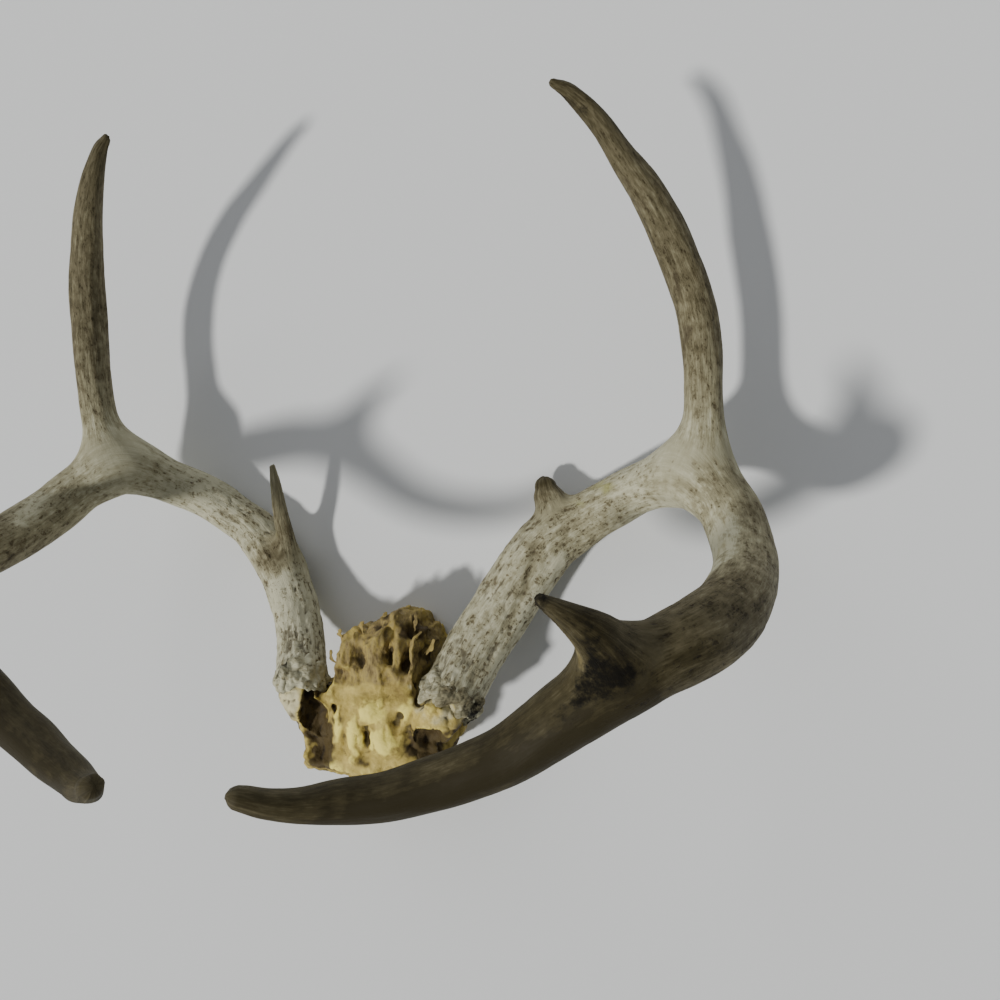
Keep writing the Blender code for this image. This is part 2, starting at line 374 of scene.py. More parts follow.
def write_points(mesh, points):
    """Puts the points back in metres, held inside the CAD box."""
    low, high = (np.array(corner) for corner in cad_box)
    placed = np.clip((points - RACK_MIDDLE) * MM, low, high)
    mesh.vertices.foreach_set("co", placed.ravel())
    mesh.update()


def write_attribute(mesh, name, kind, *channels):
    """A value for every point in each channel: three of a vector, or red, green and blue."""
    if kind == "FLOAT_COLOR":
        channels = (*channels, 1.0)
    values = np.empty((len(mesh.vertices), len(channels)), np.float32)
    for column, channel in enumerate(channels):
        values[:, column] = channel
    key = "color" if kind == "FLOAT_COLOR" else "vector"
    mesh.attributes.new(name, kind, "POINT").data.foreach_set(key, values.ravel())


def finish(name, mesh, material, nodes=()):
    """A finished piece: smooth, with its material, on the root body."""
    mesh.shade_smooth()
    mesh.materials.clear()
    mesh.materials.append(material)
    piece = link(name, mesh)
    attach(piece, "root")
    if nodes:
        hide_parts(*nodes)


# ---------------------------------------------------------------- shader maths
class Signal:
    """A socket of a material, with the operators used below as Math nodes."""

    def __init__(self, shader, socket):
        self.shader = shader
        self.socket = socket

    def maths(self, operation, first, second):
        """A Math node on two values or signals."""
        return self.shader.node("ShaderNodeMath", {"operation": operation}, {0: first, 1: second})

    def __add__(self, other):
        return self.maths("ADD", self, other)

    __radd__ = __add__

    def __sub__(self, other):
        return self.maths("SUBTRACT", self, other)

    def __rsub__(self, other):
        return self.maths("SUBTRACT", other, self)

    def __mul__(self, other):
        return self.maths("MULTIPLY", self, other)


class Shader:
    """A material's nodes round its Principled BSDF."""

    def __init__(self, name):
        self.material = bpy.data.materials.new(name)
        self.material.use_nodes = True
        self.tree = self.material.node_tree
        self.surface = self.tree.nodes["Principled BSDF"]

    def node(self, kind, settings=None, inputs=None, output=0):
        """Any node: its settings first, then the values or links of its sockets."""
        made = self.tree.nodes.new(kind)
        for name, value in (settings or {}).items():
            if name == "stops":
                self.fill_ramp(made.color_ramp, value)
            else:
                setattr(made, name, value)
        for key, value in (inputs or {}).items():
            self.feed(made.inputs[key], value)
        return Signal(self, made.outputs[output])

    def feed(self, socket, value):
        """Links a signal to the socket, or sets it to a plain value."""
        if isinstance(value, Signal):
            self.tree.links.new(value.socket, socket)
        else:
            socket.default_value = value

    def fill_ramp(self, ramp, stops):
        """Gives a colour ramp its stops, each a position and a colour."""
        while len(ramp.elements) < len(stops):
            ramp.elements.new(1.0)
        for element, (position, colour) in zip(ramp.elements, stops):
            element.position = position
            element.color = (*colour, 1.0)

    def attribute(self, name, output):
        """An attribute of the mesh, as a colour or a vector."""
        return self.node("ShaderNodeAttribute", {"attribute_name": name}, output=output)

    def channels(self, name):
        """The red, green and blue of a colour attribute."""
        split = self.tree.nodes.new("ShaderNodeSeparateColor")
        self.tree.links.new(self.attribute(name, "Color").socket, split.inputs[0])
        return [Signal(self, socket) for socket in split.outputs]

    def parts(self, name):
        """The x, y and z of a vector attribute."""
        split = self.tree.nodes.new("ShaderNodeSeparateXYZ")
        self.tree.links.new(self.attribute(name, "Vector").socket, split.inputs[0])
        return [Signal(self, socket) for socket in split.outputs]

    def stretch(self, vector, scale):
        """The vector or colour times a scale: one number, or one for each part of it."""
        scale = (scale,) * 3 if isinstance(scale, float) else scale
        return self.node("ShaderNodeVectorMath", {"operation": "MULTIPLY"}, {0: vector, 1: scale})

    def clouds(self, vector, scale, detail=4.0, roughness=0.55):
        """Noise from about 0 to 1 on the stretched vector."""
        return self.node("ShaderNodeTexNoise", None, {
            "Vector": self.stretch(vector, scale), "Scale": 1.0, "Detail": detail, "Roughness": roughness,
        })

    def specks(self, vector, scale):
        """Distance to the nearest random speck on the stretched vector."""
        return self.node("ShaderNodeTexVoronoi", None, {
            "Vector": self.stretch(vector, scale), "Scale": 1.0,
        }, output="Distance")

    def between(self, value, low, high):
        """0 at low, 1 at high, smooth between them."""
        return self.node("ShaderNodeMapRange", {"interpolation_type": "SMOOTHSTEP"}, {
            "Value": value, "From Min": low, "From Max": high,
        })

    def ramp(self, value, stops):
        """A colour for the value, blended between the stops."""
        return self.node("ShaderNodeValToRGB", {"stops": stops}, {0: value})

    def mix(self, share, first, second):
        """The first colour where the share is 0, the second where it is 1."""
        first, second = ((*c, 1.0) if isinstance(c, tuple) else c for c in (first, second))
        return self.node("ShaderNodeMix", {"data_type": "RGBA"}, {
            "Factor": share, 6: first, 7: second,
        }, output=2)

    def bump(self, height, distance, strength):
        """A bent normal from a height, with the distance in metres that a height of 1 stands for."""
        return self.node("ShaderNodeBump", None, {
            "Height": height, "Distance": distance, "Strength": strength,
        })

    def finished(self, colour, roughness, relief, specular):
        """The material, once its surface has all that it needs."""
        sockets = self.surface.inputs
        self.feed(sockets["Base Color"], colour)
        self.feed(sockets["Roughness"], roughness)
        self.feed(sockets["Normal"], relief)
        self.feed(sockets["Specular IOR Level"], specular)
        return self.material


# ---------------------------------------------------------------- materials
PALE = (0.52, 0.50, 0.35)
BEIGE = (0.30, 0.275, 0.17)
TAN = (0.138, 0.117, 0.064)
# The two darkest colours, reached on the front beam and its lower side, are its own dark brown with painted
# shade in them.
OLIVE_BROWN = (0.058, 0.047, 0.020)
DARK_BROWN = (0.027, 0.021, 0.007)
FLECK_SHADE = (0.40, 0.34, 0.27)      # the share of the colour beneath that a fleck lets through
SOOT = (0.004, 0.003, 0.001)
GOLD = (0.27, 0.215, 0.085)
LICHEN = (0.34, 0.33, 0.13)
GROOVE_DIRT = (0.075, 0.058, 0.032)


def antler_patterns(shader, grain):
    """Noise carried along the grain: long streaks, fine fibres, mottling and two sizes of fleck."""
    streaks = shader.clouds(grain, (0.045, 0.38, 0.38), 5.0, 0.62)
    fibres = shader.clouds(grain, (0.22, 1.5, 1.5), 3.0, 0.6)
    mottle = shader.clouds(grain, (0.16, 0.24, 0.24), 5.0, 0.64)
    swirl = shader.node("ShaderNodeTexNoise", None, {
        "Vector": shader.stretch(grain, 0.3), "Scale": 1.0,
    }, output="Color")
    bent = shader.node("ShaderNodeVectorMath", {"operation": "ADD"}, {
        0: grain, 1: shader.stretch(swirl, 2.2),
    })
    large = shader.specks(bent, (0.25, 0.40, 0.40))
    small = shader.specks(bent, (0.65, 0.95, 0.95))
    return [streaks, fibres, mottle, large, small]


def antler_material():
    """Weathered antler: streaks and flecks along the grain, stains with painted shade and painted light in
    them, and dirt in the hollows.

    The patterns are worked out twice, along the beam and along the tine, and the tine's
    replace the beam's across each fork.
    """
    shader = Shader("weathered_antler")
    share, fleck, _ = shader.parts("texture")
    branching = shader.between(share, 0.25, 0.75)
    stain, soot, hollow = shader.channels("wear")
    gold, lichen, polish = shader.channels("tint")
    beam = antler_patterns(shader, shader.attribute("grain", "Vector"))
    tine = antler_patterns(shader, shader.attribute("tine_grain", "Vector"))
    streaks, fibres, mottle, large, small = (b + (t - b) * branching for b, t in zip(beam, tine))

    quiet = (1.0 - polish * 0.45) * (1.0 - branching * (1.0 - branching) * 2.2)
    # The stain amount carries painted shade and painted light from some marks besides the real stains.
    tone = stain + ((streaks - 0.5) * 0.70 + (mottle - 0.5) * 0.85 + (fibres - 0.5) * 0.40) * quiet
    colour = shader.ramp(tone, [
        (0.0, PALE), (0.26, BEIGE), (0.54, TAN), (0.80, OLIVE_BROWN), (1.0, DARK_BROWN),
    ])

    cluster = shader.between(mottle + (streaks - 0.5) * 0.6, 0.38, 0.64)
    spots = shader.between(cluster * 0.32 - large, -0.13, 0.07)
    dots = shader.between(cluster * 0.26 + 0.06 - small, -0.13, 0.08)
    marks = (spots + dots * 0.8) * fleck
    colour = shader.mix(shader.between(marks, 0.0, 1.2) * 0.9, colour, shader.stretch(colour, FLECK_SHADE))
    dirt = shader.between(hollow + (fibres - 0.5) * 0.9 + (mottle - 0.5) * 0.8, 0.30, 1.0)
    colour = shader.mix(dirt * 0.7, colour, GROOVE_DIRT)
    colour = shader.mix(shader.between(lichen + (fibres - 0.5) * 0.8, 0.2, 0.9) * 0.8, colour, LICHEN)
    colour = shader.mix(shader.between(gold + (streaks - 0.5) * 0.8, 0.15, 0.85) * 0.85, colour, GOLD)
    crust = shader.clouds(shader.node("ShaderNodeTexCoord", output="Object"), 300.0, 6.0, 0.72)
    grime = soot * 0.95 + (crust - 0.5) * 2.4
    colour = shader.mix(shader.between(grime, 0.20, 1.10) * shader.between(soot, 0.02, 0.40), colour, SOOT)

    rough = 0.74 + (fibres - 0.5) * 0.2 - polish * 0.10 + soot * 0.2
    height = streaks * 0.6 + fibres * 0.5 - shader.between(marks, 0.0, 1.2) * 0.5
    relief = shader.bump(height * (1.1 - polish * 0.85), 0.0008, 0.8)
    return shader.finished(colour, rough, relief, 0.2)


OCHRE_PALE = (0.66, 0.52, 0.16)
OCHRE = (0.44, 0.335, 0.088)
OCHRE_DARK = (0.21, 0.145, 0.038)
TISSUE = (0.31, 0.235, 0.095)
TISSUE_DARK = (0.13, 0.088, 0.032)
BONE_CREAM_AND_HIGHLIGHT = (0.93, 0.79, 0.20)
BONE_WHITE = (0.66, 0.60, 0.36)
BONE_SHADE = (0.052, 0.033, 0.013)
BONE_DIRT = (0.030, 0.020, 0.010)
SAWN_MARROW = (0.16, 0.11, 0.05)
SAWN_BONE = (0.58, 0.50, 0.32)
SAWN_STAIN = (0.34, 0.25, 0.11)


def bone_material():
    """Dry skull bone: ochre and cream with painted highlights on its bumps, brown dried tissue, and dark
    hollows with painted shade.
    """
    shader = Shader("forehead_bone_and_dried_tissue")
    place = shader.node("ShaderNodeTexCoord", output="Object")
    cream_and_highlight, tissue, hollow = shader.channels("wear")
    shade, white, rim = shader.channels("tint")

    broad = shader.clouds(place, 70.0, 5.0, 0.6)
    fine = shader.clouds(place, 420.0, 5.0, 0.65)
    strands = shader.clouds(place, (900, 260, 500), 3.0, 0.6)
    tone = broad * 0.7 + fine * 0.3
    bone = shader.ramp(tone, [(0.30, OCHRE_DARK), (0.47, OCHRE), (0.66, OCHRE_PALE)])
    bone = shader.mix(shader.between(cream_and_highlight + (fine - 0.5) * 0.5, 0.25, 0.85), bone, BONE_CREAM_AND_HIGHLIGHT)
    bone = shader.mix(shader.between(white + (fine - 0.5) * 0.5, 0.25, 0.75), bone, BONE_WHITE)
    flesh = shader.ramp(strands * 0.5 + broad * 0.5, [(0.32, TISSUE_DARK), (0.46, TISSUE), (0.62, OCHRE)])
    colour = shader.mix(shader.between(tissue + (broad - 0.5) * 0.8, 0.35, 0.65), bone, flesh)
    dark = shader.between(shade + (broad - 0.5) * 0.5 + (fine - 0.5) * 0.3, 0.30, 0.80)
    colour = shader.mix(dark * 0.93, colour, BONE_SHADE)
    dirt = shader.between(hollow + (fine - 0.5) * 0.4, 0.25, 0.9)
    colour = shader.mix(dirt * 0.85, colour, BONE_DIRT)
    marrow = shader.specks(place, 700.0)
    sawn = shader.mix(shader.between(marrow, 0.18, 0.34), SAWN_MARROW, SAWN_BONE)
    sawn = shader.mix(shader.between(broad, 0.38, 0.66) * 0.6, sawn, SAWN_STAIN)
    colour = shader.mix(rim, colour, sawn)
    relief = shader.bump(fine * 0.8 + strands * tissue * 0.6, 0.0011, 0.8)
    return shader.finished(colour, 0.66 + (fine - 0.5) * 0.25, relief, 0.25)


# ---------------------------------------------------------------- antlers
KINDS = ("height", "dirt", "stain", "polish", "fleck", "soot", "gold", "lichen", "rise")
HIGHEST = {"stain": 1.2, "dirt": 1.5}      # the most of a kind, where it is not 1
TINE_GRAIN_STEP = 300.0      # keeps the patterns of two tines apart
GRAIN_RADIUS = 13.0          # the patterns go round every branch as if it were this thick


def straightened(along, angle):
    """Coordinates in millimetres as if the branch were straight: along it, and round it."""
    return np.stack([along, np.cos(angle) * GRAIN_RADIUS, np.sin(angle) * GRAIN_RADIUS], axis=1)


def branch_relief(branch, along, angle, seed):
    """Height in millimetres and depth of dirt over one branch, from its look.

    Wavy grooves follow lines where stretched noise is zero; cords are finer ridges; pearls
    are round bumps and pits are small dents on random seeds; broad swellings vary the girth.
    """
    look = branch.look
    grain = straightened(along, angle)
    groove = np.interp(along, *look["groove"])
    pearl = np.interp(along, *look["pearl"])
    bent = grain + 1.6 * np.stack([noise(grain, 9.0, seed + k) for k in range(3)], axis=1)
    swelling = 0.6 * fractal(grain, (34, 13, 13), 2, seed)
    lines = noise(bent, (42, 6.5, 6.5), seed + 11) + 0.6 * noise(bent, (17, 3.2, 3.2), seed + 12)
    cords = noise(bent, (15, 2.8, 2.8), seed + 13) + 0.6 * noise(bent, (7, 1.7, 1.7), seed + 14)
    cut = np.exp(-(lines / 0.30) ** 2) * smooth_step(noise(grain, (30, 12, 12), seed + 15), -0.35, 0.25)
    bead, number = nearest_seed(bent, (4.6, 3.4, 3.4), seed + 20)
    bumps = np.where(number > 0.45, 1 - smooth_step(bead, 0.10, 0.65), 0)
    pit, pit_number = nearest_seed(bent, (5.5, 2.6, 2.6), seed + 30)
    pits = np.where(pit_number > 0.52, np.exp(-(pit / 0.30) ** 2), 0)
    height = swelling - groove * (0.7 * cut - 0.34 * cords) + pearl * (bumps * 0.9 - 0.2)
    height -= (groove * 0.75 + 0.04) * pits
    dirt = groove * (0.45 * cut - 0.28 * cords) + pearl * (0.42 - 0.6 * bumps) + pits * 0.75 * groove
    return height, dirt


def merge_branches(points, branches):
    """The smooth union of the branches: distance past it, direction outward, and shares.

    Two distances are blended by a quadratic curve where they differ by less than the
    branch's blend, which fills the corner at a fork.
    """
    distance, outward, along, angle = branches[0].measure(points)
    parts = [[np.ones(len(points)), along, angle]]
    for branch in branches[1:]:
        other, direction, along, angle = branch.measure(points)
        share = np.clip(0.5 + 0.5 * (distance - other) / branch.blend, 0, 1)
        distance = distance * (1 - share) + other * share - branch.blend * share * (1 - share)
        outward = unit(outward * (1 - share)[:, None] + direction * share[:, None])
        for part in parts:
            part[0] = part[0] * (1 - share)
        parts.append([share, along, angle])
    return distance, outward, parts


def make_antler(name, branches, patches, nodes, material, seed):
    """One antler: tubes merged to one skin, drawn to their smooth union, then given relief."""
    mesh = merge(name, [branch.tube() for branch in branches], SURFACE_CELL)
    points = read_points(mesh)
    for _ in range(4):
        distance, outward, parts = merge_branches(points, branches)
        points = points - outward * distance[:, None]
    count = len(points)
    sums = {kind: np.zeros(count) for kind in KINDS}
    beam_grain = straightened(parts[0][1], parts[0][2])
    tine_grain = np.zeros((count, 3))
    leading = np.full(count, 1e-6)
    for index, (branch, (share, along, angle)) in enumerate(zip(branches, parts)):
        near = share > 0.001
        height, dirt = branch_relief(branch, along[near], angle[near], seed + 97 * index)
        sums["height"][near] += share[near] * height
        sums["dirt"][near] += share[near] * dirt
        for kind in ("stain", "polish", "fleck"):
            sums[kind][near] += share[near] * np.interp(along[near], *branch.look[kind])
        if index:
            ahead = share > leading
            tine_grain[ahead] = straightened(along[ahead], angle[ahead]) + TINE_GRAIN_STEP * index
            leading = np.maximum(leading, share)
    ragged = 1 + 0.7 * fractal(points, 8.0, 4, seed + 5)
    for kind, marks in patches.items():
        for amount, *place in marks:
            shape = patch(points, *place) if np.ndim(place[1]) else band(points, *place)
            sums[kind] = sums[kind] + amount * shape * (1 if kind == "rise" else ragged)
    points = points + outward * (sums["height"] + sums["rise"])[:, None]
    write_points(mesh, points)
    sunk = hollowness(mesh, points, outward, 8) - hollowness(mesh, points, outward, 1)
    sums["dirt"] += np.clip(sunk * 2.2, -0.5, 0.8) * sums["fleck"]
    level = {kind: np.clip(total, 0, HIGHEST.get(kind, 1)) for kind, total in sums.items()}
    write_attribute(mesh, "grain", "FLOAT_VECTOR", *beam_grain.T)
    write_attribute(mesh, "tine_grain", "FLOAT_VECTOR", *tine_grain.T)
    write_attribute(mesh, "texture", "FLOAT_VECTOR", 1 - parts[0][0], level["fleck"], 0)
    write_attribute(mesh, "wear", "FLOAT_COLOR", level["stain"], level["soot"], level["dirt"])
    write_attribute(mesh, "tint", "FLOAT_COLOR", level["gold"], level["lichen"], level["polish"])
    finish(name, mesh, material, nodes)


def look(stain, groove, pearl=((0,), (0,)), polish=((0,), (0,)), fleck=((0,), (0.5,))):
    """How each kind of mark varies along a branch: distances along it, and the amount at each."""
    return {"stain": stain, "groove": groove, "pearl": pearl, "polish": polish, "fleck": fleck}


BEAM_GROOVE = ((0, 110, 175, 200, 240, 330, 370, 540), (0.85, 0.75, 0.45, 0.15, 0.22, 0.34, 0.16, 0.04))
BEAM_PEARL = ((0, 14, 45, 120, 160), (1.0, 0.6, 0.30, 0.12, 0.0))
BEAM_POLISH = ((0, 180, 300, 350, 390, 530), (0.0, 0.10, 0.10, 0.25, 0.75, 0.95))
BEAM_FLECK = (
    (0, 150, 185, 205, 235, 300, 350, 385, 420, 530),
    (1.0, 0.9, 0.65, 0.60, 0.8, 0.9, 0.85, 0.4, 0.15, 0.08))
# On both beams the high stain from about 375 mm along is partly the front beam's own dark brown, partly
# painted shade.
LEFT_BEAM = look(
    ((0, 60, 90, 130, 150, 180, 205, 240, 285, 335, 375, 430, 500, 530),
     (0.14, 0.16, 0.16, 0.28, 0.22, 0.08, 0.14, 0.28, 0.42, 0.58, 0.76, 0.88, 0.82, 0.78)),
    BEAM_GROOVE, BEAM_PEARL, BEAM_POLISH, BEAM_FLECK)
# Along the right beam the stain falls low from about 110 to 150 mm: painted light, lifting the shadow that
# the window light casts there.
RIGHT_BEAM = look(
    ((0, 45, 75, 110, 150, 200, 285, 335, 375, 430, 530),
     (0.10, 0.06, 0.10, 0.12, 0.04, 0.14, 0.46, 0.58, 0.76, 0.88, 0.84)),
    BEAM_GROOVE, BEAM_PEARL, BEAM_POLISH, BEAM_FLECK)
LONG_TINE = look(
    ((0, 20, 40, 60, 90, 120, 150, 175, 200), (0.10, 0.22, 0.36, 0.50, 0.55, 0.58, 0.54, 0.66, 0.74)),
    ((0, 60, 130, 200), (0.10, 0.34, 0.26, 0.08)), polish=((0, 90, 200), (0.05, 0.15, 0.6)),
    fleck=((0, 40, 120, 200), (0.3, 0.7, 0.7, 0.6)))
FRONT_TINE = look(
    ((0, 15, 40), (0.74, 0.74, 0.74)), ((0, 50), (0.30, 0.12)), polish=((0, 50), (0.3, 0.4)),
    fleck=((0, 50), (0.7, 0.5)))
BROW_TINE = look(
    ((0, 14, 26, 60), (0.22, 0.36, 0.50, 0.34)), ((0, 25, 60), (0.5, 0.35, 0.15)),
    ((0, 16, 26), (0.4, 0.2, 0.0)), ((0, 60), (0.0, 0.3)), ((0, 30, 60), (0.9, 0.5, 0.2)))

# Bent lines that marks follow: the lit edge of the front tine, whose golden-brown is made paler
# there as a painted highlight; the inside of the fork, pale bone made paler still as painted light
# where the upper beam's shadow falls; the lower side of the upper beam, darkened as painted shade;
# the ridges and furrows of the lower beams.
TINE_EDGE_GOLD_AND_HIGHLIGHT = [(138, 55, 199), (136, 62, 204), (132.5, 69, 210)]
PALE_CROOK_AND_PAINTED_LIGHT = [(180, 83, 117), (182, 88, 104), (183, 94, 92)]
BEAM_LOWER_SIDE_PAINTED_SHADE = [
    (156, 41, 194), (140, 34, 194), (120, 22, 193), (102, 13, 193), (76, 0, 198), (52, -3, 206),
]
FOOT_RIDGE = [(56, 2, 52), (71, 24, 40), (86, 52, 33), (102, 75, 29)]
FOOT_FURROW = [(60, 10, 52), (73, 30, 39), (84, 58, 36), (89, 82, 34)]
CURVE_FURROW = [(145, 116, 50), (163, 118, 65), (176, 110, 78)]
RIGHT_CLEFT = [(-56, 30, 42), (-53, 23, 46), (-50, 10, 53)]

# Marks on each antler, by kind: an amount, then a centre with its reach along x, y and z, or
# a bent line with its reach, in millimetres.
LEFT_PATCHES = {
    "soot": [
        (0.8, (143, 50, 202), (7, 6, 7)), (0.34, (145, 51, 202), (14, 10, 12)),
        (0.6, (151, 53, 203), (8, 4.5, 7)), (0.7, [(138, 45, 199), (128, 36, 197)], 3.0),
        (0.6, [(158, 56, 201), (170, 60, 192)], 2.5),
        (0.6, [(143, 53, 204), (142, 62, 208), (139, 71, 210)], 3.8),
        (1.2, (125, 77.5, 213), (3.5, 3, 5)), (0.7, [(110, 292, 102), (121, 284, 102)], 2.2),
    ],
    "stain": [
        # The second mark on the next line makes the front tine's lit edge paler: a painted highlight.
        (0.25, [(150, 51, 202), (143, 63, 206), (138, 71, 209)], 6.5), (-0.30, TINE_EDGE_GOLD_AND_HIGHLIGHT, 2.2),
        (0.12, (174, 58, 185), (9, 6, 9)), (0.12, (190, 73, 158), (8, 8, 10)),
        # The wide pale mark on the next line makes the inside of the fork paler: pale bone, lightened further
        # as painted light where the upper beam's shadow falls.
        (-0.70, PALE_CROOK_AND_PAINTED_LIGHT, 10.0), (0.32, (184, 118, 71), (8, 8, 9)),
        # The last mark on the next line darkens the lower side of the upper beam as painted shade.
        (0.2, (197, 100, 84), (7, 12, 12)), (0.30, (90, 116, 18), (7, 7, 9)), (0.34, BEAM_LOWER_SIDE_PAINTED_SHADE, 7.5),
        # The next mark is a pale line along the top of the front beam: a painted highlight.
        (-0.22, [(100, 18, 194), (92, 16, 194), (84, 13, 196)], 4.0),
        (0.20, (156, 40, 192), (10, 8, 8)), (0.12, (120, 25, 195), (8, 5, 8)), (-0.20, FOOT_RIDGE, 4.5),
        (0.22, FOOT_FURROW, 3.5), (0.14, CURVE_FURROW, 3.0),
    ],
    # The first gold line follows the front tine's lit edge: its golden-brown, with a painted highlight in it.
    "gold": [(0.75, TINE_EDGE_GOLD_AND_HIGHLIGHT, 1.9), (0.25, [(183, 85, 108), (186, 102, 86)], 8.0)],
    # Flecks are left out of the inside of the fork as part of the same painted light.
    "fleck": [(-0.85, PALE_CROOK_AND_PAINTED_LIGHT, 10.0)],
    "lichen": [(1.0, (124, 115, 31), (9, 5, 8)), (0.5, (113, 107, 28), (8, 4, 8))],
    "dirt": [
        (0.5, (48, 29, 45), (4, 6, 6)), (0.3, (52, 23, 50), (4, 5, 6)),
        (0.9, [(168, 192, 65), (166, 174, 56)], 3.0),
        (0.7, [(166, 190, 65), (160, 220, 69), (149, 241, 78), (138, 258, 87)], 2.8),
    ],
    "rise": [
        (1.4, FOOT_RIDGE, 4.5), (-1.1, FOOT_FURROW, 3.5),
        (1.0, [(141, 110, 46), (160, 112, 60), (176, 104, 72)], 3.6), (-1.0, CURVE_FURROW, 2.6),
    ],
}
RIGHT_PATCHES = {
    "stain": [
        (0.62, (-80, 70, 30), (9, 8, 10)), (0.3, (-72, 66, 31), (6, 7, 8)),
        (-0.25, [(-68, 50, 33), (-54, 38, 36)], 7.0), (-0.3, [(-188, 88, 103), (-190, 102, 88)], 7.0),
        # This band darkens the lower side of the right upper beam as painted shade.
        (0.34, [(-160, 39, 194), (-144, 32, 194), (-106, 11, 193), (-80, -2, 199), (-56, -5, 207)], 7.5),
    ],
    "soot": [
        (0.35, (-80, 68, 31), (6, 6, 7)), (1.4, (-150, 46, 201), (7, 5, 7)),
        (0.7, [(-147, 51, 204), (-143, 69, 210)], 3.2),
    ],
    "dirt": [
        (1.1, RIGHT_CLEFT, 3.2), (-0.5, (-50, 37, 38), (8, 8, 9)),
        (0.8, [(-184, 160, 64), (-188, 190, 64), (-186, 214, 68)], 3.0),
    ],
    "rise": [(-1.2, RIGHT_CLEFT, 3.0), (1.1, [(-62, 6, 58), (-76, 38, 34), (-98, 72, 26)], 4.5)],
    "fleck": [(-0.6, (-54, 37, 37), (7, 9, 9))],
    "lichen": [(0.5, [(-73, 84, 28), (-73, 112, 37)], 3.0)],
    # Gold along the right front tine's lit edge: its golden-brown, with a painted highlight in it.
    "gold": [(0.9, [(-142, 53, 199), (-136.5, 67, 210)], 2.4)],
}


def foot_of(lower):
    """The first station of a lower beam, and the direction from it to the second."""
    foot = np.array(lower[0][:3], float)
    return foot, unit(np.array(lower[1][:3], float) - foot)


def antler_branches(lower, upper, long_tine, front_tine, brow_tine, beam_look):
    """The beam, set back a little into the forehead, and its tines."""
    foot, axis = foot_of(lower)
    beam = [(*(foot - 1.5 * axis), lower[0][3] - 0.5), *lower, *upper]
    return [
        Branch(beam, look=beam_look), Branch(long_tine, 20.0, LONG_TINE),
        Branch(front_tine, 15.0, FRONT_TINE), Branch(brow_tine, 8.0, BROW_TINE),
    ]


BURR_TURNS, BURR_SIDES = 460, 100
BURR_FLECK = 0.6
BURR_GOLD = 0.15

# Dark spots of the burrs: amount, centre and reach.
LEFT_BURR_SPOTS = [
    (2.2, (62, -7, 52), (5, 5, 6)), (1.8, (55, -15, 42), (6, 5, 7)), (0.9, (38, 8, 57), (4, 5, 6)),
]
RIGHT_BURR_SPOTS = [
    (1.1, (-57, 6, 55), (5, 5, 7)), (1.1, (-51, 9, 55), (4, 6, 6)), (0.5, (-42, 6, 57), (4, 4, 5)),
]


def make_burr(name, lower, material, seed, tone, dirtiness, dark_spots):
    """The knobbed collar round a beam's foot.

    A circle carried round the foot, swollen outward into uneven lobes and knobs on random
    seeds, with gaps where the blood vessels passed.
    """
    foot, axis = foot_of(lower)
    side = unit(np.cross(axis, (0.0, 0.0, 1.0)))
    back = np.cross(axis, side)
    turn = circle(BURR_TURNS)[:, None, None]
    round_ = circle(BURR_SIDES)[None, :, None]
    outward = side * np.cos(turn) + back * np.sin(turn)
    radius = lower[0][3]
    normal = outward * np.cos(round_) - axis * np.sin(round_)
    rim = np.stack([np.cos(turn[:, 0, 0]), np.sin(turn[:, 0, 0]), 0 * turn[:, 0, 0]], axis=1) * radius
    girth = (1 + 0.35 * fractal(rim, 10.0, 2, seed + 1))[:, None, None]
    width = (1 + 0.45 * fractal(rim, 9.0, 2, seed + 4))[:, None, None]
    wave = (2.6 * fractal(rim, 12.0, 2, seed + 2))[:, None, None]
    shape = foot - axis * 2.5 + outward * (radius - 3.0) + axis * wave
    shape = shape + outward * np.cos(round_) * 4.6 * girth - axis * np.sin(round_) * 9.0 * width
    points = shape.reshape(-1, 3)
    normal = normal.reshape(-1, 3)
    drawn = points - 0.45 * (points @ axis)[:, None] * axis
    knob, number = nearest_seed(drawn + 1.8 * fractal(points, 6.0, 2, seed)[:, None], 5.8, seed + 3)
    bead, _ = nearest_seed(drawn, 3.0, seed + 6)
    knobs = 1 - smooth_step(knob, 0.10, 0.85)
    beads = 1 - smooth_step(bead, 0.10, 0.80)
    lumps = fractal(points, 9.0, 3, seed + 9)
    height = 1.7 * lumps + 2.3 * knobs * (0.25 + number) + 0.7 * beads - 1.7
    facing = (normal * np.tile(outward, (1, BURR_SIDES, 1)).reshape(-1, 3)).sum(axis=1)
    height *= 0.3 + 0.7 * smooth_step(facing, -0.9, 0.3)
    points = points + normal * height[:, None]
    mesh = make_mesh(name, points, ring_faces(BURR_TURNS, BURR_SIDES, closed=True))
    write_points(mesh, points)
    sunk = hollowness(mesh, points, read_normals(mesh), 14)
    soot = sum(amount * patch(points, *place) for amount, *place in dark_spots) * (1 + 0.5 * lumps)
    dirt = np.clip(0.50 - 0.60 * knobs + 1.5 * sunk, 0, 1.4) * dirtiness
    stain = np.clip(tone + 0.25 * fractal(points, 12.0, 2, seed + 12), 0, 1)
    write_attribute(mesh, "grain", "FLOAT_VECTOR", *points.T)
    write_attribute(mesh, "tine_grain", "FLOAT_VECTOR", *points.T)
    write_attribute(mesh, "texture", "FLOAT_VECTOR", 0, BURR_FLECK, 0)
    write_attribute(mesh, "wear", "FLOAT_COLOR", stain, np.clip(soot, 0, 1), dirt)
    write_attribute(mesh, "tint", "FLOAT_COLOR", BURR_GOLD, 0, 0)
    finish(name, mesh, material)


